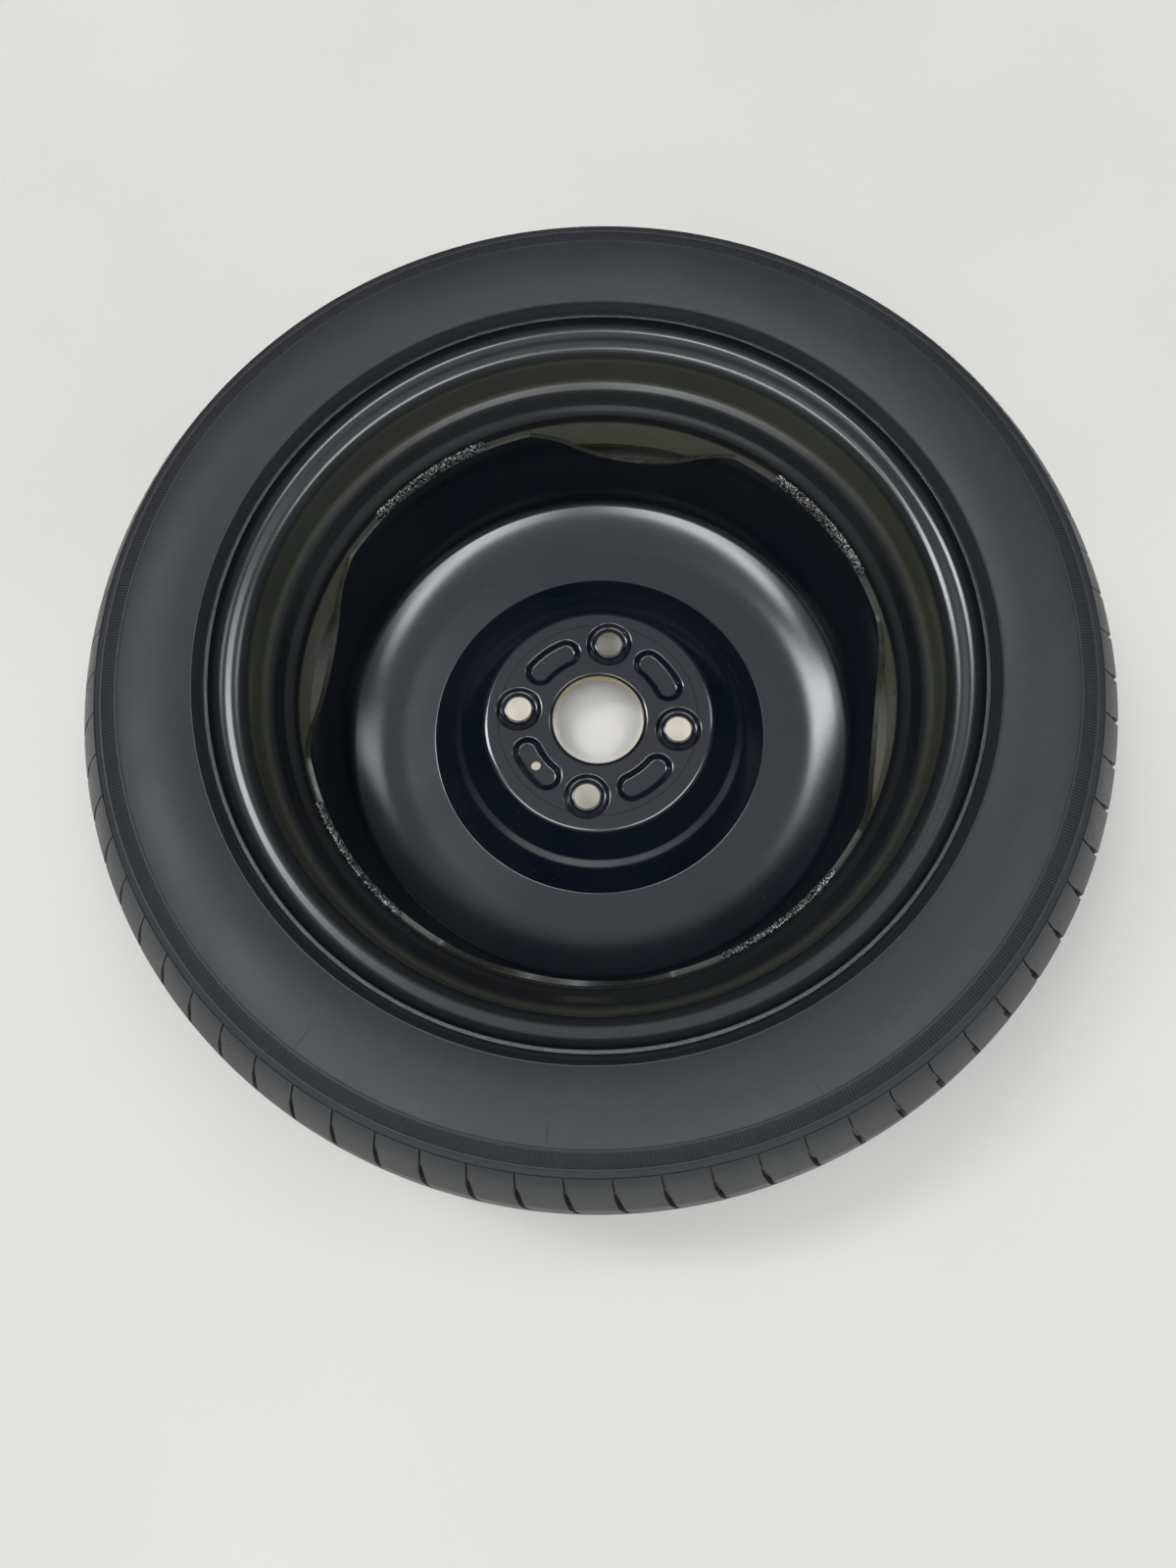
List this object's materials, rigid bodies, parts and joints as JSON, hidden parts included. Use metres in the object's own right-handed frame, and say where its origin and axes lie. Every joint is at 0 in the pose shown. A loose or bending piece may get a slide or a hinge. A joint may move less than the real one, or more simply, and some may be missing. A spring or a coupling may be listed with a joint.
{
  "type": "compact spare wheel",
  "caption": "Narrow temporary-use tyre on a welded steel wheel with a bowl-shaped disc, shown lying with its hub side up.",
  "frame": {"origin": "centre of the hub mounting face, on the wheel's axis", "axes": "+Z along the wheel's axis towards the hub side, which faces up as the wheel lies; +X through the middle of one window and one stud hole"},
  "size_m": [0.5698, 0.5698, 0.149],
  "materials": {
    "tyre_rubber": "matte moulded rubber",
    "rim_paint": "satin black paint",
    "disc_paint": "glossy black paint",
    "weld_metal": "rippled weld beads under thin black paint",
    "valve_rubber": "smooth moulded rubber",
    "valve_brass": "turned brass",
    "cap_plastic": "moulded black plastic"
  },
  "bodies": {
    "root": {"tyre": "tyre_rubber", "rim_barrel": "rim_paint", "disc": "disc_paint", "weld_1": "weld_metal", "weld_2": "weld_metal", "weld_3": "weld_metal", "weld_4": "weld_metal", "valve_rubber": "valve_rubber", "valve_tube": "valve_brass", "valve_core": "valve_brass", "valve_cap": "cap_plastic"}
  },
  "joints": []
}
